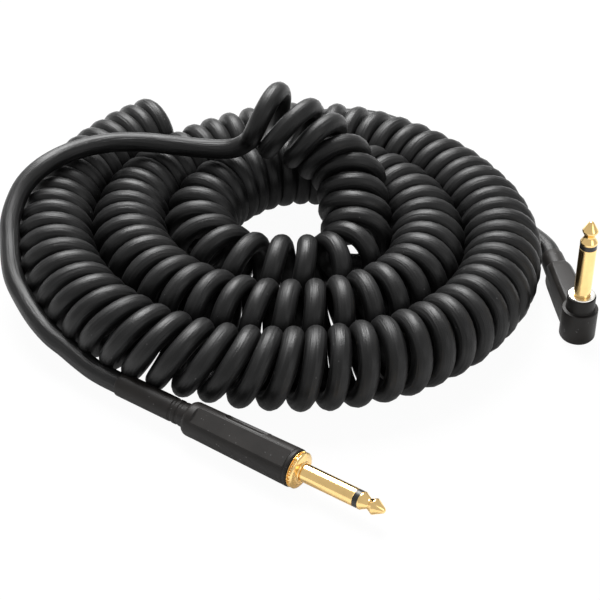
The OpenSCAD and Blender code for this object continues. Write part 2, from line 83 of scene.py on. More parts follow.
# the inner end climbs over the spiral's back, one curl from each of these points to the next
CLIMB_ROUTE = ((-86.3, -22.2, 15.2), (-90.8, -12, 17), (-96, -6.1, 21), (-100.9, -0.2, 24.1),
               (-106.1, 4.8, 28.2), (-113.1, 4, 34.8), (-119.2, 0.6, 41.8), (-128.2, -3.4, 46.6),
               (-139.8, -4.5, 47.8), (-149.4, -5, 48))
CLIMB_SIZE = (0.915, 0.905, 0.9, 0.9, 0.9, 0.9, 0.9, 0.91, 0.95, 1.02, 1.02)
CLIMB_FACING = {5: (-0.66, 0.68, 0.32), 6: (-0.83, 0.34, 0.44), 7: (-0.9, -0.06, 0.42), 8: (-0.87, -0.17, 0.47),
                9: (-0.89, -0.37, 0.27), 10: (-0.89, -0.37, 0.27)}
CLIMB_SAMPLES = 6
LAST_TURN = 0.72                        # share of the last curl that is wound before the lead leaves it
CURL_EXIT = ((-141.5, -13.5, 41.5), (-146.5, -15, 37.2))
STRAIGHT_ROUTE = ((-152.5, -17.2, 35.4), (-160, -21, 35.2), (-170, -25.5, 35.2), (-180, -30, 35.2),
                  (-190, -37, 35.2), (-197, -46, 35.2), (-201, -56, 35), (-203, -66.5, 34),
                  (-204, -75, 31), (-202.5, -82.5, 27.5), (-198.4, -90.9, 24), (-192.4, -97.9, 21),
                  (-185.2, -105.4, 18.5), (-178.4, -111, 16.5), (-171, -115, 14.5),
                  (-160.6, -119.8, 12.5), (-150.5, -122.8, 10.5), (-142.5, -123.6, 9), (-134.5, -125, 8),
                  (-126, -125.9, 7))
ANGLE_ROUTE = ((-36.6, 38.4, 5.8), (-43.2, 42.4, 4.6), (-51, 47, 4), (-60, 53, 4), (-72, 60.5, 4),
               (-86, 68, 4), (-100, 74, 4), (-114, 79.5, 4), (-128, 82.5, 4), (-142, 82, 4),
               (-154, 76.5, 4), (-164, 68, 4), (-172, 57, 4), (-177.5, 45, 4), (-180.5, 34, 4))
ENTRY_BEND = 14.0                       # radius of the bend into the first curl
ENTRY_STEP = 4.0                        # spacing of the lead's last points before that bend

CAMERA_PLACE = (0.19157, -0.45755, 0.38299)
CAMERA_RIGHT = (0.81962, 0.57289, 0.00448)
CAMERA_UP = (-0.34865, 0.49259, 0.79737)
CAMERA_BACK = (0.4546, -0.6551, 0.60347)
CAMERA_LENS = 99.14                     # for a sensor 36 mm wide


# ---------- settings ----------

def size(name, text, millimetres, lowest, highest):
    return FloatProperty(name=name, description=text, default=millimetres * MM, min=lowest * MM,
                         max=highest * MM, unit="LENGTH", subtype="DISTANCE", precision=5)


def colour(name, text, value):
    return FloatVectorProperty(name=name, description=text, default=value, size=3, min=0, max=1,
                               subtype="COLOR")


class CordSettings(bpy.types.PropertyGroup):
    cord_diameter: size("Cord diameter", "Thickness of the cord itself", 7.8, 7, 8)
    curl_diameter: size("Curl diameter", "Outside diameter of one curl", 30.8, 28, 31)
    rings: IntProperty(name="Rings in a curl", description="Rings of the tube round one curl",
                       default=26, min=12, max=40)
    sides: IntProperty(name="Sides", description="Sides of the tube", default=18, min=8, max=24)
    rubber: colour("Cord rubber", "Colour of the cord's jacket", (0.0048, 0.0048, 0.0049))


class PlugSettings(bpy.types.PropertyGroup):
    shaft_diameter: size("Shaft diameter", "Diameter of both gold shafts", 6.35, 6.3, 6.4)
    tip_diameter: size("Tip diameter", "Widest diameter of the arrow tips", 5.8, 5.4, 6)
    collar_diameter: size("Collar diameter", "Diameter of the knurled collar", 13, 12.6, 13.4)
    knurl_count: IntProperty(name="Knurl ridges", description="Slanted ridges round the collar",
                             default=24, min=12, max=48)
    pocket_depth: size("Pocket depth", "Depth of the flats and the recess in the grip", 0.7, 0.2, 1.2)
    gold: colour("Gold plate", "Colour of shafts, tips and collar", (0.95, 0.66, 0.28))
    rubber: colour("Plug rubber", "Colour of grip, sleeve and right-angle body", (0.0125, 0.011, 0.01))


class StageSettings(bpy.types.PropertyGroup):
    floor_colour: colour("Floor", "Colour of the floor", (0.86, 0.86, 0.86))
    key_power: FloatProperty(name="Key light", description="Power of the large soft light",
                             default=31.0, min=0, max=60, unit="POWER")
    fill_power: FloatProperty(name="Fill light", description="Power of the smaller light from the right",
                              default=1.5, min=0, max=40, unit="POWER")
    surround: FloatProperty(name="Surround", description="Strength of the even light from all round",
                            default=0.3, min=0, max=1, subtype="FACTOR")


# ---------- small helpers ----------

finishes = {}                           # the script's own materials, by the record's slot


def smooth(points, steps):
    """Smooth curve through points, with some steps between each two."""
    p = [np.array(q, float) for q in points]
    p = [2 * p[0] - p[1]] + p + [2 * p[-1] - p[-2]]
    made = []
    for a, b, c, d in zip(p, p[1:], p[2:], p[3:]):
        for f in np.arange(steps) / steps:
            made.append(0.5 * (2 * b + (c - a) * f + (2 * a - 5 * b + 4 * c - d) * f * f
                               + (3 * b - a - 3 * c + d) * f ** 3))
    return np.array(made + [p[-2]])


def unit(v):
    return v / np.linalg.norm(v, axis=-1, keepdims=True)


def lengths(path):
    return np.concatenate([[0], np.cumsum(np.linalg.norm(np.diff(path, axis=0), axis=1))])


def even(path, step):
    """Points at even distances along a path."""
    s = lengths(path)
    at = np.linspace(0, s[-1], max(2, round(s[-1] / step)) + 1)
    return np.stack([np.interp(at, s, path[:, k]) for k in range(3)], 1)


def mend(mesh):
    """Merges doubles and turns faces outwards."""
    bm = bmesh.new()
    bm.from_mesh(mesh)
    bmesh.ops.remove_doubles(bm, verts=bm.verts, dist=1e-7)
    bmesh.ops.dissolve_degenerate(bm, edges=bm.edges, dist=1e-8)
    bmesh.ops.recalc_face_normals(bm, faces=bm.faces)
    bm.to_mesh(mesh)
    bm.free()


def dress(name, mesh, slot, *nodes, sharp=35, body="cable"):
    """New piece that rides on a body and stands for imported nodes, smooth but for its sharp edges."""
    mend(mesh)
    mesh.shade_smooth()
    mesh.set_sharp_from_angle(angle=math.radians(sharp))
    mesh.materials.clear()
    mesh.materials.append(finishes[slot])
    piece = bpy.data.objects.new(name, mesh)
    bpy.context.scene.collection.objects.link(piece)
    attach(piece, body)
    if nodes:
        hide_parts(*nodes)


def revolve(outline, sides, place, shape=None):
    """Mesh of a closed outline of (radius, height) turned about its axis; shape may change a radius
    by height and angle, and place puts (x, y, height) into the frame, all in millimetres."""
    verts, rings, faces = [], [], []
    for r, z in outline:
        if r < 1e-6:
            rings.append([len(verts)] * sides)
            verts.append(place(0, 0, z))
            continue
        rings.append(range(len(verts), len(verts) + sides))
        for k in range(sides):
            a = 2 * math.pi * k / sides
            q = shape(r, z, a) if shape else r
            verts.append(place(q * math.cos(a), q * math.sin(a), z))
    for low, high in zip(rings, rings[1:] + rings[:1]):
        if low[0] == low[-1] and high[0] == high[-1]:
            continue
        for k in range(sides):
            j = (k + 1) % sides
            corners = [low[k], low[j], high[j], high[k]]
            faces.append(list(dict.fromkeys(corners)))
    mesh = bpy.data.meshes.new("turned")
    mesh.from_pydata([tuple(MM * c for c in v) for v in verts], [], faces)
    return mesh


def on_straight(x, y, z):
    """Height z points from the collar's face towards the tip of the straight plug."""
    return (STRAIGHT_FACE[0] + z, STRAIGHT_FACE[1] + y, STRAIGHT_FACE[2] - x)


def on_angle(x, y, z):
    return (ANGLE_FACE[0] + x, ANGLE_FACE[1] + y, ANGLE_FACE[2] + z)


def softened(points, radius, steps=4):
    """The outline with its corners rounded off by a small radius."""
    made = []
    n = len(points)
    for i in range(n):
        before, here, after = (np.array(points[k % n], float) for k in (i - 1, i, i + 1))
        a, b = before - here, after - here
        la, lb = np.linalg.norm(a), np.linalg.norm(b)
        cut = min(radius, 0.4 * la, 0.4 * lb)
        if here[0] < 1e-6 or cut < 1e-3:
            made.append(tuple(here))
            continue
        p, q = here + a / la * cut, here + b / lb * cut
        for k in range(steps + 1):
            f = k / steps
            made.append(tuple((1 - f) ** 2 * p + 2 * f * (1 - f) * here + f * f * q))
    return made


# ---------- finishes ----------

class Net:
    """Short way to add and join nodes in one tree."""

    def __init__(self, tree):
        self.tree = tree

    def add(self, kind, inputs=None, **settings):
        node = self.tree.nodes.new(kind)
        for key, value in settings.items():
            setattr(node, key, value)
        for key, value in (inputs or {}).items():
            if isinstance(value, bpy.types.NodeSocket):
                self.tree.links.new(value, node.inputs[key])
            else:
                node.inputs[key].default_value = value
        return node

    def math(self, operation, a, b=0.0, c=0.0, clamp=False):
        node = self.add("ShaderNodeMath", {0: a, 1: b, 2: c}, operation=operation, use_clamp=clamp)
        return node.outputs[0]

    def join(self, a, b):
        self.tree.links.new(a, b)


def new_tree(name, kind, inputs, outputs):
    """New node tree with inputs of (name, kind, value) and outputs of (name, kind)."""
    tree = bpy.data.node_groups.new(name, kind)
    for label, socket_kind, value in inputs:
        socket = tree.interface.new_socket(label, in_out="INPUT", socket_type="NodeSocket" + socket_kind)
        if value is not None:
            socket.default_value = value
    for label, socket_kind in outputs:
        tree.interface.new_socket(label, in_out="OUTPUT", socket_type="NodeSocket" + socket_kind)
    net = Net(tree)
    return net, net.add("NodeGroupInput"), net.add("NodeGroupOutput")


def grain_group():
    """Fine moulded or brushed grain: a height, and a slow patchy mask."""
    net, given, out = new_tree("surface_grain", "ShaderNodeTree", (
        ("Place", "Vector", None), ("Grain Size", "Float", 2000.0), ("Patch Size", "Float", 60.0)),
        (("Height", "Float"), ("Patches", "Float")))
    fine = net.add("ShaderNodeTexNoise", {"Vector": given.outputs["Place"],
                                          "Scale": given.outputs["Grain Size"], "Detail": 2.0})
    slow = net.add("ShaderNodeTexNoise", {"Vector": given.outputs["Place"], "Detail": 4.0, "Roughness": 0.6,
                                          "Scale": given.outputs["Patch Size"]})
    net.join(fine.outputs["Fac"], out.inputs["Height"])
    net.join(slow.outputs["Fac"], out.inputs["Patches"])
    return net.tree


def dust_group():
    """Scattered pale specks of lint and dust."""
    net, given, out = new_tree("dust_specks", "ShaderNodeTree", (
        ("Place", "Vector", None), ("Speck Size", "Float", 900.0), ("Amount", "Float", 0.2)),
        (("Mask", "Float"),))
    cells = net.add("ShaderNodeTexVoronoi", {"Vector": given.outputs["Place"],
                                             "Scale": given.outputs["Speck Size"]})
    where = net.add("ShaderNodeTexNoise", {"Vector": given.outputs["Place"], "Scale": 90.0, "Detail": 3.0})
    near = net.math("LESS_THAN", cells.outputs["Distance"], 0.16)
    chance = net.math("SUBTRACT", net.math("MULTIPLY", where.outputs["Fac"], given.outputs["Amount"]),
                      net.math("MULTIPLY", cells.outputs["Color"], 0.12))
    some = net.math("GREATER_THAN", chance, 0.0)
    net.join(net.math("MULTIPLY", near, some), out.inputs["Mask"])
    return net.tree


def ramp(net, value, low, high, at_low, at_high):
    """Value mapped from low..high to at_low..at_high, clamped."""
    return net.add("ShaderNodeMapRange", {"Value": value, "From Min": low, "From Max": high,
                                          "To Min": at_low, "To Max": at_high}).outputs["Result"]


def start_material(name, **fixed):
    """New material with its Principled shader's plain values set on the shader's own sockets."""
    material = finishes[name] = bpy.data.materials.new(name + "_finish")
    material.use_nodes = True
    material.node_tree.nodes.clear()
    net = Net(material.node_tree)
    shader = net.add("ShaderNodeBsdfPrincipled", {key.replace("_", " "): value for key, value in fixed.items()})
    net.add("ShaderNodeOutputMaterial", {"Surface": shader.outputs[0]})
    return net, shader


def group_node(net, name, **values):
    return net.add("ShaderNodeGroup", {key.replace("_", " "): value for key, value in values.items()},
                   node_tree=bpy.data.node_groups[name])


def mix_colour(net, factor, a, b):
    return net.add("ShaderNodeMix", {0: factor, 6: a, 7: b}, data_type="RGBA").outputs[2]


def rgba(value, scale=1.0):
    return tuple(min(1.0, c * scale) for c in value) + (1.0,)


def relief(net, shader, height, strength, distance):
    bump = net.add("ShaderNodeBump", {"Strength": strength, "Distance": distance, "Height": height})
    net.join(bump.outputs[0], shader.inputs["Normal"])


def grained(name, value, tones, rough, bump, sizes, low=0.3, **fixed):
    """Material with a fine grain and slow changes of shade and gloss. Returns its tree, shader, place and
    base colour."""
    net, shader = start_material(name, **fixed)
    place = net.add("ShaderNodeTexCoord").outputs["Object"]
    grain = group_node(net, "surface_grain", Place=place, Grain_Size=sizes[0], Patch_Size=sizes[1])
    patches = grain.outputs["Patches"]
    base = mix_colour(net, ramp(net, patches, low, 0.7, 0.0, 1.0), rgba(value, tones[0]), rgba(value, tones[1]))
    net.join(base, shader.inputs["Base Color"])
    net.join(ramp(net, patches, low, 0.7, *rough), shader.inputs["Roughness"])
    relief(net, shader, grain.outputs["Height"], *bump)
    return net, shader, place, base


def cord_rubber(settings):
    """Satin extruded jacket: fine draw lines along the cord, slow shade changes, a little dust."""
    net, shader = start_material("cord_rubber", IOR=1.5, Specular_IOR_Level=0.31)
    place = net.add("ShaderNodeAttribute", attribute_name="cord_place").outputs["Vector"]
    lines = net.add("ShaderNodeVectorMath", {0: place, 1: (900.0, 900.0, 60.0)}, operation="MULTIPLY")
    drawn = net.add("ShaderNodeTexNoise", {"Vector": lines.outputs[0], "Scale": 1.0,
                                           "Detail": 3.0}).outputs["Fac"]
    grain = group_node(net, "surface_grain", Place=place, Grain_Size=2600.0, Patch_Size=55.0)
    patches = grain.outputs["Patches"]
    dust = group_node(net, "dust_specks", Place=place, Speck_Size=620.0, Amount=0.03)
    base = mix_colour(net, ramp(net, patches, 0.3, 0.7, 0.0, 1.0), rgba(settings.rubber, 0.8),
                      rgba(settings.rubber, 1.25))
    base = mix_colour(net, ramp(net, drawn, 0.52, 0.72, 0.0, 0.55), base, rgba(settings.rubber, 4))
    base = mix_colour(net, dust.outputs["Mask"], base, (0.06, 0.06, 0.06, 1))
    net.join(base, shader.inputs["Base Color"])
    net.join(net.math("ADD", ramp(net, patches, 0.3, 0.7, 0.38, 0.48), ramp(net, drawn, 0.35, 0.7, -0.05, 0.09)),
             shader.inputs["Roughness"])
    height = net.math("MULTIPLY_ADD", drawn, 0.8, net.math("MULTIPLY", grain.outputs["Height"], 0.2))
    relief(net, shader, height, 0.9, 0.00042)


def plug_rubber(settings):
    """Moulded soft rubber of the plugs: warm black with a fine matt grain."""
    net, shader, place, base = grained("plug_rubber", settings.rubber, (0.8, 1.3), (0.42, 0.52), (0.2, 0.0001),
                                       (3200.0, 90.0), IOR=1.48, Specular_IOR_Level=0.24)
    dust = group_node(net, "dust_specks", Place=place, Speck_Size=800.0, Amount=0.06)
    net.join(mix_colour(net, dust.outputs["Mask"], base, (0.1, 0.1, 0.1, 1)), shader.inputs["Base Color"])


def polished_metal(name, value, roughness, lines=900.0):
    """Plated metal with faint turning lines, smudges and hairline wear."""
    grained(name, value, (1.0, 0.88), (roughness, roughness + 0.08), (0.06, 0.00004), (lines, 240.0), 0.35,
            Metallic=1.0)


def plain_plastic(name, value, roughness):
    """Moulded plastic with faint flow shading and a fine grain."""
    grained(name, value, (0.94, 1.04), (roughness, roughness + 0.08), (0.12, 0.00005), (2400.0, 120.0), IOR=1.46)


def copper_strands():
    """Twisted bare copper strands."""
    net, shader = start_material("copper_wire", Metallic=1.0)
    place = net.add("ShaderNodeTexCoord").outputs["Object"]
    twist = net.add("ShaderNodeTexWave", {"Vector": place, "Scale": 420.0, "Distortion": 1.5, "Detail": 1.0},
                    wave_type="BANDS", bands_direction="DIAGONAL").outputs["Fac"]
    net.join(mix_colour(net, twist, (0.55, 0.24, 0.11, 1), (0.90, 0.50, 0.28, 1)), shader.inputs["Base Color"])
    net.join(ramp(net, twist, 0.0, 1.0, 0.4, 0.28), shader.inputs["Roughness"])
    relief(net, shader, twist, 0.5, 0.0001)


# ---------- cord ----------

LEAD_STEP = 2.5                         # distance of the leads' points, in millimetres
LEAD_SMOOTH = 8


def curl_axis(curl_diameter):
    """Axis of the curls in millimetres with, at each point, the way the curl faces, its size and the
    number of curls passed."""
    eighths = len(RING_CURLS)
    ring = smooth(list(zip(RING_REACH, RING_LIFT, RING_SIZE)), RING_SAMPLES)
    turn = np.radians(RING_START + 45 * np.arange(len(ring)) / RING_SAMPLES)
    shrink = ring[:, 2]
    axis = np.stack([RING_MIDDLE[0] + ring[:, 0] * np.cos(turn), RING_MIDDLE[1] + ring[:, 0] * np.sin(turn),
                     ring[:, 1] + CORD_R + shrink * (curl_diameter / 2 - CORD_R)], 1)
    passed = np.interp(np.arange(len(ring)), np.arange(eighths + 1) * RING_SAMPLES,
                       np.concatenate([[0], np.cumsum(RING_CURLS)]))
    # a running mean over nine points, so that the pitch changes little by little
    padded = np.concatenate([2 * passed[0] - passed[4:0:-1], passed, 2 * passed[-1] - passed[-2:-6:-1]])
    passed = np.convolve(padded, np.ones(9) / 9, "valid")
    steps = CLIMB_SAMPLES
    climb = smooth([axis[-4], axis[-1], *CLIMB_ROUTE], steps)[steps + 1:]
    climbed = np.arange(1, len(climb) + 1) / steps
    axis, passed = np.vstack([axis, climb]), np.concatenate([passed, passed[-1] + climbed])
    shrink = np.concatenate([shrink, np.interp(climbed, np.arange(len(CLIMB_SIZE)), CLIMB_SIZE)])
    facing = unit(np.gradient(axis, axis=0))
    lean = np.interp(np.arange(len(ring)) / RING_SAMPLES, *zip(*RING_LEAN))
    facing[:len(ring), 2] -= np.tan(np.radians(lean))
    first = min(CLIMB_FACING)
    given = smooth([CLIMB_FACING[i] for i in sorted(CLIMB_FACING)], steps)
    start = len(axis) - len(climb) + steps * first - 1
    facing[start:start + len(given)] = given[:len(axis) - start]
    blend = np.linspace(0, 1, steps + 1)[:, None]
    facing[start - steps:start + 1] = (1 - blend) * facing[start - steps] + blend * facing[start]
    return axis, unit(facing), shrink, passed


def cord_line(settings):
    """Axis points of the whole cord with, at each, the curl's side and rise vectors, its turn and
    the cord's own place: the vectors are nought on the leads. Millimetres."""
    radius = (settings.curl_diameter - settings.cord_diameter) / 2 / MM
    axis, facing, shrink, passed = curl_axis(settings.curl_diameter / MM)
    count = int((passed[-1] - 2 + LAST_TURN + 0.5) * settings.rings)
    turn = np.arange(count + 1) / settings.rings

    def at(values):
        return np.stack([np.interp(turn, passed, values[:, k]) for k in range(3)], 1)

    # no two curls are quite alike: each leans and swells a little its own way
    uneven = np.random.default_rng(11).uniform(-UNEVEN_SPREAD, UNEVEN_SPREAD,
                                              (count // settings.rings + 2, 3))
    uneven[:2] = uneven[-3:] = 0
    ease = 0.5 - 0.5 * np.cos(np.pi * (turn % 1))
    uneven = uneven[turn.astype(int)] * (1 - ease)[:, None] + uneven[turn.astype(int) + 1] * ease[:, None]
    along = unit(at(facing) + UNEVEN_LEAN * uneven * (1, 1, 0.8))
    swell = np.interp(turn, passed, shrink)[:, None] * (1 + UNEVEN_SWELL * uneven[:, 2:])
    side = unit(np.cross(along, (0, 0, 1)))
    rise = np.cross(side, along)
    angle = 2 * math.pi * (turn - 0.25)
    side, rise = side * swell, rise * swell
    centre = at(axis) + (0, 0, CENTRE_LIFT)
    curls = centre + radius * (np.cos(angle)[:, None] * side + np.sin(angle)[:, None] * rise)

    # one lead comes out of the boot and bends up into the first curl; the other leaves the last one
    arm = np.array((math.cos(ARM_TURN), math.sin(ARM_TURN), 0))
    boot = ARM_END * arm + (0, 0, ARM_Z)
    heading, out = along[0], side[0] / swell[0]
    middle = curls[0] - ENTRY_BEND * heading
    entry = [middle - ENTRY_BEND * out - 2 * ENTRY_STEP * heading,
             middle - ENTRY_BEND * out - ENTRY_STEP * heading]
    entry += [middle + ENTRY_BEND * (math.sin(a) * heading - math.cos(a) * out) for a in np.radians((0, 30, 60))]
    points = [boot - 4 * arm, boot, boot + 5 * arm, *ANGLE_ROUTE, *entry, curls[0], curls[3]]
    first = even(smooth(points, LEAD_SMOOTH)[:LEAD_SMOOTH * (len(points) - 2) + 1], LEAD_STEP)[:-1]
    sleeve = np.array(STRAIGHT_FACE) - (SLEEVE_END, 0, 0)
    last = smooth([curls[-3], curls[-1], *CURL_EXIT, *STRAIGHT_ROUTE, sleeve, sleeve + (4, 0, 0)], LEAD_SMOOTH)
    last = even(last[LEAD_SMOOTH:], LEAD_STEP)[1:]
    zero = np.zeros
    return {
        "axis": np.vstack([first, centre, last]),
        "side": np.vstack([zero(first.shape), side, zero(last.shape)]),
        "rise": np.vstack([zero(first.shape), rise, zero(last.shape)]),
        "turn": np.concatenate([zero(len(first)), turn, zero(len(last))]),
        "centre": np.vstack([first, curls, last]),
    }


def geometry_tree(name, *inputs):
    """New Geometry Nodes tree with a geometry in and out, these inputs and a material."""
    return new_tree(name, "GeometryNodeTree", (("Geometry", "Geometry", None), *inputs,
                                               ("Material", "Material", None)), (("Geometry", "Geometry"),))


def finish_tree(net, given, out, geometry):
    """Ends a tree with real geometry in the given material."""
    real = net.add("GeometryNodeRealizeInstances", {0: geometry})
    painted = net.add("GeometryNodeSetMaterial", {"Geometry": real.outputs[0],
                                                  "Material": given.outputs["Material"]})
    net.join(painted.outputs[0], out.inputs[0])
    return net.tree


def cord_tree():
    """Geometry Nodes tree that winds an axis line into curls and skins it with a round tube."""
    net, given, out = geometry_tree("wind_cord", ("Curl Radius", "Float", 0.0115),
                                    ("Cord Radius", "Float", 0.0039), ("Sides", "Int", 18))

    def named(name, kind):
        return net.add("GeometryNodeInputNamedAttribute", {"Name": name}, data_type=kind).outputs["Attribute"]

    angle = net.math("MULTIPLY", net.math("SUBTRACT", named("turn", "FLOAT"), 0.25), 2 * math.pi)

    def swung(name, operation):
        reach = net.math("MULTIPLY", net.math(operation, angle), given.outputs["Curl Radius"])
        return net.add("ShaderNodeVectorMath", {0: named(name, "FLOAT_VECTOR"), "Scale": reach},
                       operation="SCALE").outputs[0]

    offset = net.add("ShaderNodeVectorMath", {0: swung("side", "COSINE"), 1: swung("rise", "SINE")},
                     operation="ADD").outputs[0]
    wound = net.add("GeometryNodeSetPosition", {"Geometry": given.outputs["Geometry"], "Offset": offset})
    curve = net.add("GeometryNodeMeshToCurve", {"Mesh": wound.outputs[0]})
    along = net.add("GeometryNodeCaptureAttribute", {"Geometry": curve.outputs[0]}, domain="POINT")
    along.capture_items.new("FLOAT", "Along")
    net.join(net.add("GeometryNodeSplineParameter").outputs["Length"], along.inputs["Along"])
    ring = net.add("GeometryNodeCurvePrimitiveCircle", {"Resolution": given.outputs["Sides"],
                                                        "Radius": given.outputs["Cord Radius"]})
    around = net.add("GeometryNodeCaptureAttribute", {"Geometry": ring.outputs[0]}, domain="POINT")
    around.capture_items.new("VECTOR", "Around")
    net.join(net.add("GeometryNodeInputPosition").outputs[0], around.inputs["Around"])
    skin = net.add("GeometryNodeCurveToMesh", {"Curve": along.outputs[0], "Profile Curve": around.outputs[0],
                                               "Fill Caps": True})
    flat = net.add("ShaderNodeSeparateXYZ", {0: around.outputs["Around"]})
    place = net.add("ShaderNodeCombineXYZ", {0: flat.outputs[0], 1: flat.outputs[1],
                                             2: along.outputs["Along"]})
    stored = net.add("GeometryNodeStoreNamedAttribute", {"Geometry": skin.outputs[0], "Name": "cord_place",
                                                         "Value": place.outputs[0]},
                     data_type="FLOAT_VECTOR", domain="POINT")
    soft = net.add("GeometryNodeSetShadeSmooth", {0: stored.outputs[0]})
    return finish_tree(net, given, out, soft.outputs[0])


def grow(name, mesh, tree, values):
    """Runs a tree on a mesh with named input values and returns the result as a plain mesh."""
    seed = bpy.data.objects.new(name + "_seed", mesh)
    bpy.context.scene.collection.objects.link(seed)
    modifier = seed.modifiers.new("tree", "NODES")
    modifier.node_group = tree
    for item in tree.interface.items_tree:
        if item.item_type == "SOCKET" and item.in_out == "INPUT" and item.name in values:
            modifier[item.identifier] = values[item.name]
    made = bpy.data.meshes.new_from_object(seed.evaluated_get(bpy.context.evaluated_depsgraph_get()))
    bpy.data.objects.remove(seed)
    if not made.polygons:
        raise RuntimeError(f"{tree.name} made nothing for {name}")
    made.name = name
    return made


class CABLE_OT_cord(bpy.types.Operator):
    """Wind the curly cord and its two leads as one unbroken tube"""
    bl_idname = "cable.cord"
    bl_label = "Curly cord"

    def execute(self, context):
        settings = context.scene.cable_cord
        line = cord_line(settings)
        mesh = bpy.data.meshes.new("cord_axis")
        n = len(line["axis"])
        mesh.from_pydata([tuple(p) for p in line["axis"] * MM], [(i, i + 1) for i in range(n - 1)], [])
        for name in ("side", "rise"):
            mesh.attributes.new(name, "FLOAT_VECTOR", "POINT").data.foreach_set(
                "vector", line[name].astype(np.float32).ravel())
        mesh.attributes.new("turn", "FLOAT", "POINT").data.foreach_set("value", line["turn"].astype(np.float32))
        tube = grow("curly_cord_wound", mesh, cord_tree(), {
            "Curl Radius": (settings.curl_diameter - settings.cord_diameter) / 2,
            "Cord Radius": settings.cord_diameter / 2, "Sides": settings.sides,
            "Material": finishes["cord_rubber"]})
        piece = bpy.data.objects.new("curly_cord_wound", tube)
        context.scene.collection.objects.link(piece)
        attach(piece, "cable")
        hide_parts("straight_lead", "curly_cord", "angle_lead")
        return {"FINISHED"}


# ---------- contacts ----------

RING_FROM, RING_TO, REACH = 20.8, 22.7, 32.0   # the black ring's ends and the tip's point, from the plug's face
ROOT_R, ROOT_RELIEF = 2.9, 0.3          # the shaft is thinner inside the plug and just in front of its face


def shaft_outline(radius, root):
    return [(2.1, -root), (ROOT_R, -root), (ROOT_R, ROOT_RELIEF), (radius - 0.08, ROOT_RELIEF),
            (radius, ROOT_RELIEF + 0.08), (radius, RING_FROM - 0.12), (radius - 0.12, RING_FROM),
            (2.1, RING_FROM)]


def ring_outline(radius):
    return [(1.1, RING_FROM), (radius - 0.05, RING_FROM), (radius - 0.05, RING_TO), (1.1, RING_TO)]


def tip_outline(radius, tip_radius, back):
    bead = [(radius - 0.1, 0), (radius, 0.1), (radius, 0.75), (radius - 0.1, 1.0), (radius - 0.45, 1.45),
            (2.25, 2.4), (2.0, 2.8), (1.95, 3.1), (2.0, 3.4), (2.25, 3.8), (tip_radius - 0.3, 4.7),
            (tip_radius - 0.08, 5.0), (tip_radius, 5.3), (tip_radius - 0.06, 5.6), (tip_radius - 0.25, 5.9)]
    return [(0, -back), (1.1, -back), (1.1, RING_TO), *((r, RING_TO + z) for r, z in bead),
            (0.95, REACH - 0.45), (0.6, REACH - 0.15), (0.3, REACH - 0.03), (0, REACH)]


# each plug, how far its shaft reaches back behind its face, and how far the rod of its tip does
PLUGS = (("straight", on_straight, 13.2, 15.4), ("angle", on_angle, 7.3, 9.5))


class CABLE_OT_contacts(bpy.types.Operator):
    """Turn the gold shafts, arrow tips and black rings of both plugs"""
    bl_idname = "cable.contacts"
    bl_label = "Shafts and tips"

    def execute(self, context):
        settings = context.scene.cable_plugs
        radius, tip_radius = settings.shaft_diameter / 2 / MM, settings.tip_diameter / 2 / MM
        for plug, place, root, back in PLUGS:
            for piece, outline, slot, sharp in (
                    ("shaft", shaft_outline(radius, root), "gold_plate", 35),
                    ("tip_ring", ring_outline(radius), "black_ring", 35),
                    ("tip", tip_outline(radius, tip_radius, back), "gold_plate", 50)):
                dress(f"{plug}_{piece}_turned", revolve(outline, 96, place), slot, f"{plug}_{piece}",
                      sharp=sharp)
        return {"FINISHED"}


# ---------- straight plug ----------

def knurl_tree():
    """Geometry Nodes tree that sets slanted ridges round a rim."""
    net, given, out = geometry_tree("knurl_rim", ("Ridges", "Int", 30), ("Rim Radius", "Float", 0.0065),
                                    ("Ridge Length", "Float", 0.003), ("Ridge Width", "Float", 0.0007),
                                    ("Slant", "Float", 0.5))
    # the ridge is a six-sided rod lying along X, pointed at both ends
    cone = net.add("GeometryNodeMeshCone", {"Vertices": 6, "Radius Top": 0.0, "Radius Bottom": 0.5,
                                            "Depth": 0.5})
    other = net.add("GeometryNodeTransform", {"Geometry": cone.outputs["Mesh"], "Rotation": (math.pi, 0, 0)})
    both = net.add("GeometryNodeJoinGeometry")
    net.join(cone.outputs["Mesh"], both.inputs[0])
    net.join(other.outputs[0], both.inputs[0])
    merged = net.add("GeometryNodeMergeByDistance", {"Geometry": both.outputs[0]})
    lying = net.add("GeometryNodeTransform", {"Geometry": merged.outputs[0], "Rotation": (0, math.pi / 2, 0)})
    rim = net.add("GeometryNodeMeshCircle", {"Vertices": given.outputs["Ridges"],
                                             "Radius": given.outputs["Rim Radius"]})
    facing = net.add("FunctionNodeAlignRotationToVector", {
        "Vector": net.add("GeometryNodeInputPosition").outputs[0]}, axis="X", pivot_axis="Z")
    lean = net.add("FunctionNodeEulerToRotation", {0: net.add("ShaderNodeCombineXYZ", {
        0: given.outputs["Slant"], 1: math.pi / 2}).outputs[0]})
    turned = net.add("FunctionNodeRotateRotation", {0: facing.outputs[0], 1: lean.outputs[0]},
                     rotation_space="LOCAL")
    scale = net.add("ShaderNodeCombineXYZ", {0: given.outputs["Ridge Length"],
                                             1: given.outputs["Ridge Width"], 2: given.outputs["Ridge Width"]})
    ridges = net.add("GeometryNodeInstanceOnPoints", {"Points": rim.outputs[0], "Instance": lying.outputs[0],
                                                      "Rotation": turned.outputs[0], "Scale": scale.outputs[0]})
    return finish_tree(net, given, out, ridges.outputs[0])


KNURL_AT, KNURL_LENGTH, KNURL_WIDTH, KNURL_SLANT = 2.05, 1.8, 1.15, 0.6   # behind the collar's face


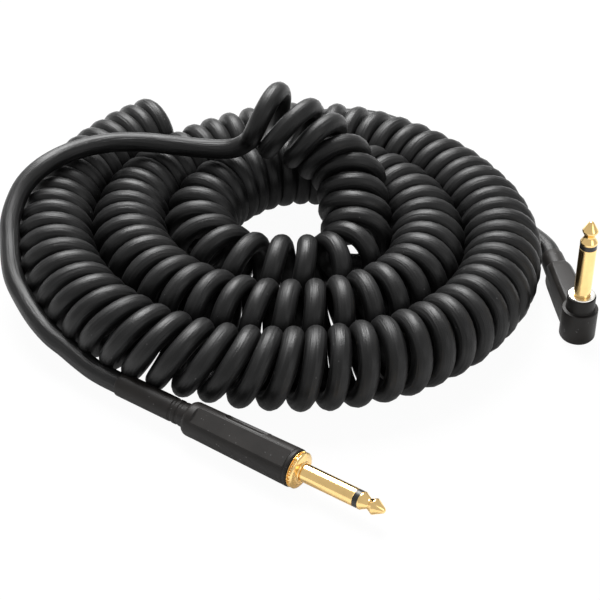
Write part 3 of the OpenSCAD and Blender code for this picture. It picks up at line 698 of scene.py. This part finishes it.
class CABLE_OT_collar(bpy.types.Operator):
    """Turn the gold collar of the straight plug and set its slanted knurl"""
    bl_idname = "cable.collar"
    bl_label = "Knurled collar"

    def execute(self, context):
        settings = context.scene.cable_plugs
        radius = settings.collar_diameter / 2 / MM
        outline = [(ROOT_R, -13.2), (5.2, -13.2), (5.2, -2.9), (radius - 0.25, -2.9), (radius, -2.75),
                   (radius, -2.65), (radius - 0.7, -2.5), (radius - 0.7, -1.6), (radius, -1.45),
                   (radius - 0.1, -1.2), (radius - 0.6, -0.85), (radius - 1.5, -0.5), (radius - 2.3, -0.3),
                   (radius - 2.35, -0.4), (3.75, -0.4), (3.6, -0.1), (3.4, 0), (ROOT_R, 0)]
        dress("straight_collar_turned", revolve(softened(outline, 0.12, 3), 128, on_straight), "gold_plate",
              "straight_collar", sharp=40)
        ridges = grow("straight_collar_knurl", bpy.data.meshes.new("knurl_seed"), knurl_tree(), {
            "Ridges": settings.knurl_count, "Rim Radius": (radius - 0.55) * MM,
            "Ridge Length": KNURL_LENGTH * MM, "Ridge Width": KNURL_WIDTH * MM, "Slant": KNURL_SLANT,
            "Material": finishes["gold_plate"]})
        # the tree's rim lies round Z; stand it on the plug's axis, in the middle of the rim's groove
        ridges.transform(Matrix(((0, 0, 1, (STRAIGHT_FACE[0] - KNURL_AT) * MM), (0, 1, 0, STRAIGHT_FACE[1] * MM),
                                 (-1, 0, 0, STRAIGHT_FACE[2] * MM), (0, 0, 0, 1))))
        dress("straight_collar_knurl", ridges, "gold_plate", sharp=30)
        return {"FINISHED"}


GRIP_FROM, GRIP_TO = 3.1, 47.8          # its ends, behind the collar's face
GRIP_FLATS = (207, 327, 87)             # turn of the three long flats round the grip
FLAT_FROM, FLAT_TO = 1.7, 41.0          # their ends, from the grip's front end
RECESS_TURN, RECESS_MIDDLE, RECESS_LENGTH, RECESS_WIDTH = 147, 22.4, 17.5, 4.3
LIP = 0.1                               # height of the soft lip along the edges of flats and recess


def turned_off(angle, turn):
    return (math.degrees(angle) - turn + 180) % 360 - 180


def stadium(along, across, length, width):
    """Signed distance to a stadium of this length and width, below zero inside."""
    half = max(0.0, length / 2 - width / 2)
    return math.hypot(max(0.0, abs(along) - half), across) - width / 2


def grip_shape(depth):
    """Radius of the grip with its three long flats and the short recess between two of them."""

    def shape(r, z, angle):
        if r < 5.45 or not -GRIP_TO < z < -GRIP_FROM:
            return r
        back = -z - GRIP_FROM
        for turn in GRIP_FLATS:
            off = abs(turned_off(angle, turn))
            if off > 60:
                continue
            flat = (r - depth) / math.cos(math.radians(off))
            f = max(0.0, min(1.0, min(back - FLAT_FROM, FLAT_TO - back) / 0.5))
            if flat < r:
                r -= (r - flat) * f * f * (3 - 2 * f)
            elif flat < r + 0.25:
                r += LIP * f * math.sin(math.pi * (flat - r) / 0.25)
        off = turned_off(angle, RECESS_TURN)
        if abs(off) < 60:
            gap = stadium(back - RECESS_MIDDLE, math.radians(off) * r, RECESS_LENGTH, RECESS_WIDTH)
            if gap < 0.2:
                f = min(1.0, (0.2 - gap) / 0.4)
                r -= depth * f * f * (3 - 2 * f)
            elif gap < 0.6:
                r += LIP * math.sin(math.pi * (gap - 0.2) / 0.4)
        return r

    return shape


class CABLE_OT_grip(bpy.types.Operator):
    """Mould the screwed grip of the straight plug with its flats and recess"""
    bl_idname = "cable.grip"
    bl_label = "Grip"

    def execute(self, context):
        depth = context.scene.cable_plugs.pocket_depth / MM
        outer = [(5.2, -47.78), (5.8, -47.5), (6.15, -46.9), (6.3, -46.2)]
        outer += [(6.3 + 0.5 * (46.2 + z) / 41.3, z) for z in np.arange(-46.0, -4.95, 0.16)]
        outer += [(6.8, -4.9), (6.64, -4.7), (6.64, -4.45), (6.8, -4.25), (6.78, -3.5), (6.6, -3.2), (6.3, -3.1)]
        outline = [(5.25, -3.1), (5.25, -42.8), (4.7, -42.8), (4.7, -47.8), (5.2, -47.8)] + outer
        dress("straight_grip_moulded", revolve(outline, 288, on_straight, grip_shape(depth)), "plug_rubber",
              "straight_grip", sharp=50, body="grip")
        return {"FINISHED"}


class CABLE_OT_sleeve(bpy.types.Operator):
    """Mould the sleeve round the cord behind the grip, with its two rings and rounded end"""
    bl_idname = "cable.sleeve"
    bl_label = "Sleeve"

    def execute(self, context):
        outline = [(3.9, -78.8), (4.0, -78.8), (4.25, -78.65), (4.38, -78.3), (4.4, -77.8)]
        outline += [(4.4, z) for z in np.arange(-77.0, -55.0, 1.0)]
        outline += [(4.4, -54.8), (4.1, -54.5), (4.1, -53.6), (4.4, -53.3), (4.4, -52.0), (4.1, -51.7),
                    (4.1, -50.8), (4.4, -50.5), (4.4, -41.2), (3.9, -41.2)]
        dress("straight_sleeve_moulded", revolve(softened(outline, 0.15, 2), 128, on_straight), "plug_rubber",
              "straight_sleeve", sharp=50)
        return {"FINISHED"}


# ---------- right-angle plug ----------

def arm_point(along, across, z):
    c, s = math.cos(ARM_TURN), math.sin(ARM_TURN)
    return (along * c - across * s, along * s + across * c, z)


def bar_section(half, top, edge):
    """Upright bar standing on the floor, its four edges bevelled and eased, as (across, height) points."""
    outline = [(half - edge, 0), (half, edge), (half, top - edge), (half - edge, top),
               (-half + edge, top), (-half, top - edge), (-half, edge), (-half + edge, 0)]
    # softened leaves points on an axis alone, so the bar is moved off it and back
    return [(y - 50, z) for y, z in softened([(y + 50, z) for y, z in outline], 0.45, 3)]


def loft(sections):
    """Closed mesh through sections of equal point count, each a list of frame points in millimetres."""
    n = len(sections[0])
    verts = [tuple(MM * c for c in p) for s in sections for p in s]
    faces = [[i * n + k, i * n + (k + 1) % n, (i + 1) * n + (k + 1) % n, (i + 1) * n + k]
             for i in range(len(sections) - 1) for k in range(n)]
    faces += [list(range(n)), list(range((len(sections) - 1) * n, len(sections) * n))]
    mesh = bpy.data.meshes.new("loft")
    mesh.from_pydata(verts, [], faces)
    return mesh


def fused(name, meshes):
    """One closed skin round several closed meshes that overlap."""
    lumps = []
    for i, mesh in enumerate(meshes):
        mend(mesh)
        lumps.append(bpy.data.objects.new(f"{name}_lump_{i}", mesh))
        bpy.context.scene.collection.objects.link(lumps[-1])
    for other in lumps[1:]:
        union = lumps[0].modifiers.new("union", "BOOLEAN")
        union.operation, union.solver, union.object = "UNION", "EXACT", other
    made = bpy.data.meshes.new_from_object(lumps[0].evaluated_get(bpy.context.evaluated_depsgraph_get()))
    for lump in lumps:
        bpy.data.objects.remove(lump)
    return made


class CABLE_OT_angle_body(bpy.types.Operator):
    """Mould the right-angle body: round boss, neck, arm and the boot round the cord"""
    bl_idname = "cable.angle_body"
    bl_label = "Right-angle body"

    def execute(self, context):
        boss = revolve(softened([(0, 0), (5.9, 0), (6.7, 1.2), (6.7, 13.2), (5.3, 13.2), (5.3, 18.9), (0, 18.9)],
                                0.35, 3), 96, lambda x, y, z: (x, y, z))
        sections = [[arm_point(at, y, z) for y, z in bar_section(half, top, edge)]
                    for at, half, top, edge in ((0, 4.9, 13.1, 1.4), (14, 4.85, 12.9, 1.4), (28, 4.6, 12.4, 1.5),
                                                (30.5, 4.5, 12.1, 1.7), (32, 4.3, 11.5, 2.0),
                                                (32.9, 3.8, 10.6, 2.1))]
        arm = loft(sections)
        rings = []
        for at, r in ((26, 4.7), (33, 4.68), (38, 4.55), (40.4, 4.5), (41, 4.3)):
            rings.append([arm_point(at, r * math.cos(a), ARM_Z + r * math.sin(a))
                          for a in np.radians(np.arange(0, 360, 7.5))])
        dress("angle_body_moulded", fused("angle_body_moulded", [boss, arm, loft(rings)]), "plug_rubber",
              "angle_housing", sharp=40)
        flange = softened([(ROOT_R, -0.6), (4.9, -0.6), (4.9, 0), (ROOT_R, 0)], 0.12, 3)
        dress("angle_flange_turned", revolve(flange, 96, on_angle), "tinned_metal", "angle_flange")
        return {"FINISHED"}


SHELL_REACH = 6.5                       # the inner shell stays within this radius of the boss's axis


class CABLE_OT_inner_shell(bpy.types.Operator):
    """Keep the back corners of the right-angle plug's inner shell inside the round boss"""
    bl_idname = "cable.inner_shell"
    bl_label = "Inner shell"

    def execute(self, context):
        node = frame["nodes"]["angle_inner_shell"]
        mesh = node.data.copy()
        mesh.transform(node.matrix_world)
        for v in mesh.vertices:
            along = v.co.x * math.cos(ARM_TURN) + v.co.y * math.sin(ARM_TURN)
            reach = math.hypot(v.co.x, v.co.y)
            if along < 0 and reach > SHELL_REACH * MM:
                v.co.x, v.co.y = v.co.x * SHELL_REACH * MM / reach, v.co.y * SHELL_REACH * MM / reach
        dress("angle_inner_shell_moulded", mesh, "white_insulator", "angle_inner_shell", sharp=30)
        return {"FINISHED"}


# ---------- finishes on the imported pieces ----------

class CABLE_OT_finishes(bpy.types.Operator):
    """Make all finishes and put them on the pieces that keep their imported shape"""
    bl_idname = "cable.finishes"
    bl_label = "Finishes"

    def execute(self, context):
        plugs = context.scene.cable_plugs
        grain_group()
        dust_group()
        cord_rubber(context.scene.cable_cord)
        plug_rubber(plugs)
        polished_metal("gold_plate", plugs.gold, 0.12)
        polished_metal("tinned_metal", (0.86, 0.84, 0.79), 0.2)
        polished_metal("solder", (0.62, 0.62, 0.64), 0.34, 700.0)
        copper_strands()
        plain_plastic("white_insulator", (0.84, 0.82, 0.77), 0.42)
        plain_plastic("liner_plastic", (0.80, 0.79, 0.75), 0.2)
        plain_plastic("black_ring", (0.02, 0.019, 0.018), 0.28)
        slots = {row["node"]: row["material_slot"] for row in frame["record"]["subparts"]}
        for node, obj in frame["nodes"].items():
            material = finishes.get(slots[node])
            if material is None:
                raise RuntimeError(f"no finish is made for {node}")
            if not obj.material_slots:
                raise RuntimeError(f"{node} has no material slot")
            for slot in obj.material_slots:
                slot.link = "OBJECT"
                slot.material = material
        return {"FINISHED"}


# ---------- stage ----------

def aim(obj, place, target):
    """Puts an object at a place with its -Z side towards a target."""
    back = unit(np.array(place, float) - np.array(target, float))
    right = unit(np.cross((0, 0, 1), back))
    up = np.cross(back, right)
    obj.matrix_world = Matrix([(right[i], up[i], back[i], place[i]) for i in range(3)] + [(0, 0, 0, 1)])


def seen_white(net, gloss, most=1.0):
    """How much of the white ground a ray sees: most for the camera and through glass, gloss in reflections."""
    ray = net.add("ShaderNodeLightPath")
    straight = net.math("MAXIMUM", ray.outputs["Is Camera Ray"], ray.outputs["Is Transmission Ray"])
    return net.math("MAXIMUM", net.math("MULTIPLY", straight, most),
                    net.math("MULTIPLY", ray.outputs["Is Glossy Ray"], gloss))


class CABLE_OT_stage(bpy.types.Operator):
    """Set up the camera, the floor and the light"""
    bl_idname = "cable.stage"
    bl_label = "Camera, floor and light"

    def execute(self, context):
        scene = context.scene
        settings = scene.cable_stage
        scene.view_settings.view_transform = "Standard"

        camera = bpy.data.objects.new("camera", bpy.data.cameras.new("camera"))
        camera.data.lens, camera.data.sensor_width = CAMERA_LENS, 36
        camera.data.clip_start, camera.data.clip_end = 0.02, 20
        camera.matrix_world = Matrix([(CAMERA_RIGHT[i], CAMERA_UP[i], CAMERA_BACK[i], CAMERA_PLACE[i])
                                      for i in range(3)] + [(0, 0, 0, 1)])
        scene.collection.objects.link(camera)
        scene.camera = camera

        net, shader = start_material("studio_floor", Roughness=0.7, Specular_IOR_Level=0.1)
        place = net.add("ShaderNodeTexCoord").outputs["Object"]
        mottle = net.add("ShaderNodeTexNoise", {"Vector": place, "Scale": 3.0, "Detail": 3.0})
        net.join(mix_colour(net, mottle.outputs["Fac"], rgba(settings.floor_colour, 0.985),
                            rgba(settings.floor_colour, 1.015)), shader.inputs["Base Color"])
        glow = net.add("ShaderNodeEmission", {"Color": (1, 1, 1, 1), "Strength": 1.0})
        clear = net.add("ShaderNodeMixShader", {0: seen_white(net, 0.25, 0.96), 1: shader.outputs[0],
                                                2: glow.outputs[0]})
        net.join(clear.outputs[0], net.tree.nodes["Material Output"].inputs["Surface"])
        half = 6.0
        mesh = bpy.data.meshes.new("studio_floor")
        mesh.from_pydata([(-half, -half, 0), (half, -half, 0), (half, half, 0), (-half, half, 0)], [],
                         [(0, 1, 2, 3)])
        mesh.materials.append(finishes["studio_floor"])
        floor = bpy.data.objects.new("studio_floor", mesh)
        scene.collection.objects.link(floor)

        world = bpy.data.worlds.new("surround")
        world.use_nodes = True
        net = Net(world.node_tree)
        back = world.node_tree.nodes["Background"]
        back.inputs["Color"].default_value = (1, 1, 1, 1)
        net.join(ramp(net, seen_white(net, 0.55), 0, 1, settings.surround, 1.0), back.inputs["Strength"])
        scene.world = world

        centre = (-0.10, -0.03, 0.02)
        for name, power, width, at in (("key_light", settings.key_power, 0.75, (-0.6, 0.45, 0.95)),
                                       ("fill_light", settings.fill_power, 0.5, (0.9, -0.2, 0.5))):
            lamp = bpy.data.lights.new(name, "AREA")
            lamp.energy, lamp.size = power, width
            obj = bpy.data.objects.new(name, lamp)
            aim(obj, at, centre)
            scene.collection.objects.link(obj)
        return {"FINISHED"}


class CABLE_PT_panel(bpy.types.Panel):
    """Sizes, colours and steps of the cable"""
    bl_idname = "CABLE_PT_panel"
    bl_label = "Instrument cable"
    bl_space_type = "VIEW_3D"
    bl_region_type = "UI"
    bl_category = "Cable"

    def draw(self, context):
        for settings in (context.scene.cable_cord, context.scene.cable_plugs, context.scene.cable_stage):
            box = self.layout.box()
            for name in settings.__annotations__:
                box.prop(settings, name)
        for step in STEPS:
            self.layout.operator(step.bl_idname)


STEPS = (CABLE_OT_stage, CABLE_OT_finishes, CABLE_OT_cord, CABLE_OT_contacts, CABLE_OT_collar,
         CABLE_OT_grip, CABLE_OT_sleeve, CABLE_OT_angle_body, CABLE_OT_inner_shell)
CLASSES = (CordSettings, PlugSettings, StageSettings, *STEPS, CABLE_PT_panel)


def register():
    for cls in CLASSES:
        bpy.utils.register_class(cls)
    bpy.types.Scene.cable_cord = PointerProperty(type=CordSettings)
    bpy.types.Scene.cable_plugs = PointerProperty(type=PlugSettings)
    bpy.types.Scene.cable_stage = PointerProperty(type=StageSettings)


def unregister():
    del bpy.types.Scene.cable_stage, bpy.types.Scene.cable_plugs, bpy.types.Scene.cable_cord
    for cls in reversed(CLASSES):
        bpy.utils.unregister_class(cls)


def main():
    register()
    bpy.ops.cable.stage()
    bpy.ops.cable.finishes()
    bpy.ops.cable.cord()
    bpy.ops.cable.contacts()
    bpy.ops.cable.collar()
    bpy.ops.cable.grip()
    bpy.ops.cable.sleeve()
    bpy.ops.cable.angle_body()
    bpy.ops.cable.inner_shell()


if __name__ == "__main__":
    main()
